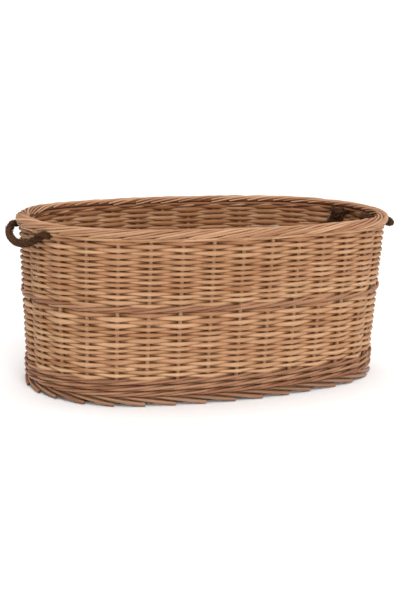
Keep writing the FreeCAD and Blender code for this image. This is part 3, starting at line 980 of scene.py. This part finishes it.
def over_and_under(ring, flip):
    """Up or down at every crossing of a stick, smooth between them, as shares of the full lift."""
    count = len(ring)
    marks = []
    following = np.roll(ring, -1, axis=0)
    for stick in CROSS_STICKS:
        passed = (ring[:, 0] - stick) * (following[:, 0] - stick) <= 0
        marks.extend(np.nonzero(passed)[0].tolist())
    marks.extend(np.nonzero(ring[:, 1] * following[:, 1] <= 0)[0].tolist())
    marks = sorted(set(marks))
    signs = [(-1) ** (index + flip) for index in range(len(marks))]
    keys = np.array([marks[-1] - count] + marks + [marks[0] + count], float)
    values = np.array([signs[-1]] + signs + [signs[0]], float)
    place = np.arange(count, dtype=float)
    index = np.clip(np.searchsorted(keys, place, side="right") - 1, 0, len(keys) - 2)
    share = (place - keys[index]) / (keys[index + 1] - keys[index])
    return values[index] + (values[index + 1] - values[index]) * (1 - np.cos(math.pi * share)) / 2


print("base middle in metres:", round(BASE_MIDDLE, 4), "cross sticks at", CROSS_STICKS)


# %% Weave the base
def weave_base(name, node_name, first, last, count, thickness, finish, lift, seed):
    dice = np.random.default_rng(seed)
    bundle = new_bundle()
    for index in range(count):
        radius = first + (last - first) * (index + 0.5) / count
        ring = base_ring(radius)
        height = BASE_MIDDLE + over_and_under(ring, index % 2) * lift
        line = np.concatenate((ring, height[:, None]), axis=1)
        line = np.concatenate((line, line[:2]))
        add_rod(bundle, line, thickness, (last - first) / count / 2 * 1.04, dice)
    return make_piece(name, bundle, finish, replaces=(node_name,))


# each ring band by the radius of its ends, from the bound middle out to the wall
WALL_INSIDE = END_RADIUS - FLARE_BACK - WALL
EDGE_INNER, EDGE_OUTER = WALL_INSIDE - 0.0144, WALL_INSIDE - 0.0004
SLATH_INNER, SLATH_OUTER = 0.006, 0.040
BASE_ROD = 0.0026
weave_base("base_weave_rods", "base_weave", SLATH_OUTER, EDGE_INNER, 18, BASE_ROD,
           base_finish, 0.0063, 601)
weave_base("base_edge_rods", "base_edge_wale", EDGE_INNER, EDGE_OUTER, 3, 0.0045,
           wale_finish, 0.0045, 602)
weave_base("base_binding_rods", "base_binding", SLATH_INNER, SLATH_OUTER, 8, BASE_ROD,
           base_finish, 0.0050, 603)

# %% [markdown]
# ## The bound middle
# The smallest oval still leaves a long slit at the middle of the base. On the real basket the rods
# that tie the long sticks together fill it. They lie nearly straight there, so they are straight
# rods that wave over and under the cross sticks, and each ends where the smallest oval begins.

# %% Bind the middle of the base
MIDDLE_ROWS = (-0.0278, -0.0238, -0.0198, -0.0065, 0.0065, 0.0198, 0.0238, 0.0278)


def bind_middle():
    """Straight rods that lie beside and between the long sticks, inside the smallest oval."""
    dice = np.random.default_rng(604)
    bundle = new_bundle()
    inner = SIDE_RADIUS - END_RADIUS + 0.008
    for number, across in enumerate(MIDDLE_ROWS):
        reach = math.sqrt(inner ** 2 - (SIDE_CENTRE + abs(across)) ** 2)
        along = np.linspace(-reach, reach, int(reach / 0.003))
        lift = 0.0056 * np.cos(math.pi * (along / STICK_SPACING + number))
        line = np.stack((along, np.full(len(along), across), BASE_MIDDLE + lift), axis=1)
        add_rod(bundle, line, BASE_ROD, 0.0023, dice)
    return make_piece("base_middle_rods", bundle, base_finish,
                      replaces=("base_binding",))


bind_middle()

# %% [markdown]
# ## The stage
# A basket shows its weave best in even light. Two lamps as wide as a white ceiling light it from the
# front and from above, a soft lamp at the right rounds off that end, and a pale floor and a white
# room fill the shadows.

# %% Light the basket on a plain floor
bpy.ops.object.select_all(action="DESELECT")
bpy.ops.mesh.primitive_plane_add(size=12, location=(0, 0, 0))
floor = bpy.context.object
floor.name = "floor"
floor_finish = bpy.data.materials.new("floor")
floor_finish.use_nodes = True
floor_shader = floor_finish.node_tree.nodes["Principled BSDF"]
floor_shader.inputs["Base Color"].default_value = plain(250, 250, 250)
floor_shader.inputs["Roughness"].default_value = 0.9
floor.data.materials.append(floor_finish)
floor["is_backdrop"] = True

world = bpy.data.worlds.new("studio")
bpy.context.scene.world = world
world.use_nodes = True
sky = world.node_tree.nodes["Background"]
sky.inputs["Color"].default_value = (1, 1, 1, 1)
# the room seen behind the basket is whiter than the light it gives
ROOM_GIVES, ROOM_SEEN = 0.42, 1.0
tree = world.node_tree
seen = tree.nodes.new("ShaderNodeLightPath").outputs["Is Camera Ray"]
tree.links.new(ranged(tree, seen, 0.0, 1.0, ROOM_GIVES, ROOM_SEEN), sky.inputs["Strength"])


def lamp(name, kind, place, towards, power, **settings):
    """A lamp at place that points towards a spot. A sun is infinitely far off in that direction."""
    data = bpy.data.lights.new(name, kind)
    data.energy = power
    for setting, value in settings.items():
        setattr(data, setting, value)
    holder = bpy.data.objects.new(name, data)
    bpy.context.scene.collection.objects.link(holder)
    holder.location = place
    holder.rotation_mode = "QUATERNION"
    holder.rotation_quaternion = (Vector(towards) - Vector(place)).to_track_quat("-Z", "Y")


lamp("front_light", "SUN", (-0.75, -3.0, 2.5), (0, 0, 0), 2.0, angle=0.7)
lamp("ceiling_light", "SUN", (0.0, 0.5, 3.0), (0, 0, 0), 1.5, angle=1.0)
lamp("side_light", "AREA", (2.6, -1.0, 1.4), (0, 0, 0.15), 10, shape="DISK", size=1.4)
bpy.context.scene.view_settings.view_transform = "Standard"
print("lamps:", [light.name for light in bpy.data.lights])

# %% [markdown]
# ## Measuring the result
# The visual model has to fill the same room as the measured one, so the bounds of what is drawn
# are measured here.

# %% Measure the bounds
low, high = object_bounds()
